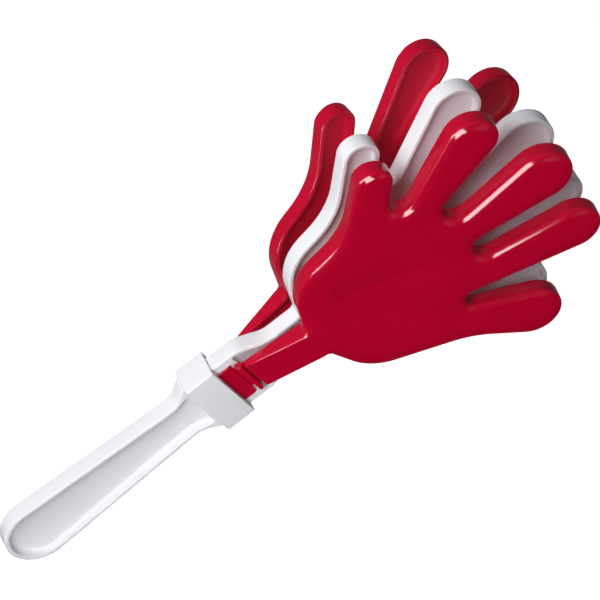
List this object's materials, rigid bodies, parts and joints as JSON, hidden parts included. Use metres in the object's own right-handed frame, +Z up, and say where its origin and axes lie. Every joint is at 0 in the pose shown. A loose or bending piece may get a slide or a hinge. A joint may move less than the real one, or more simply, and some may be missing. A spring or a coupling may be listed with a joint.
{
  "type": "hand clapper",
  "caption": "Party noisemaker: a handle with a flat centre hand, and a hollow hand film-hinged over each of its faces, which claps against it when shaken.",
  "frame": {"origin": "middle of the handle's grip, on the middle plane of the white moulding", "axes": "+Z up the handle to the fingers, -Y the front face with the front red hand, -X the thumb side"},
  "size_m": [0.1369, 0.0577, 0.2798],
  "materials": {
    "white_plastic": "smooth semi-gloss white injection moulding",
    "red_plastic": "smooth high-gloss red injection moulding"
  },
  "bodies": {
    "handle": {"centre_hand_handle": "white_plastic", "clamp_sleeve": "white_plastic", "front_root_tab": "red_plastic", "back_root_tab": "red_plastic", "front_lower_film": "red_plastic", "back_lower_film": "red_plastic"},
    "front_link": {"front_hinge_link": "red_plastic", "front_upper_film": "red_plastic"},
    "front_palm": {"front_hand": "red_plastic"},
    "back_link": {"back_hinge_link": "red_plastic", "back_upper_film": "red_plastic"},
    "back_palm": {"back_hand": "red_plastic"}
  },
  "joints": [
    {"name": "front_link_bend", "type": "hinge", "parent": "handle", "child": "front_link", "pos_m": [0, -0.0033, 0.0667], "axis": [1, 0, 0], "range_deg": [-2.4, 27.6], "stiffness_Nm_per_rad": 0.8, "springref_deg": -0.25, "deforming": ["front_lower_film"]},
    {"name": "front_hand_swing", "type": "hinge", "parent": "front_link", "child": "front_palm", "pos_m": [0, -0.00447, 0.07065], "axis": [1, 0, 0], "range_deg": [-2.4, 27.6], "stiffness_Nm_per_rad": 0.77, "springref_deg": -0.23, "deforming": ["front_upper_film"]},
    {"name": "back_link_bend", "type": "hinge", "parent": "handle", "child": "back_link", "pos_m": [0, 0.0033, 0.0667], "axis": [-1, 0, 0], "range_deg": [-4.2, 25.8], "stiffness_Nm_per_rad": 0.8, "springref_deg": -0.37, "deforming": ["back_lower_film"]},
    {"name": "back_hand_swing", "type": "hinge", "parent": "back_link", "child": "back_palm", "pos_m": [0, 0.00459, 0.07062], "axis": [-1, 0, 0], "range_deg": [-4.2, 25.8], "stiffness_Nm_per_rad": 0.77, "springref_deg": -0.36, "deforming": ["back_upper_film"]}
  ]
}
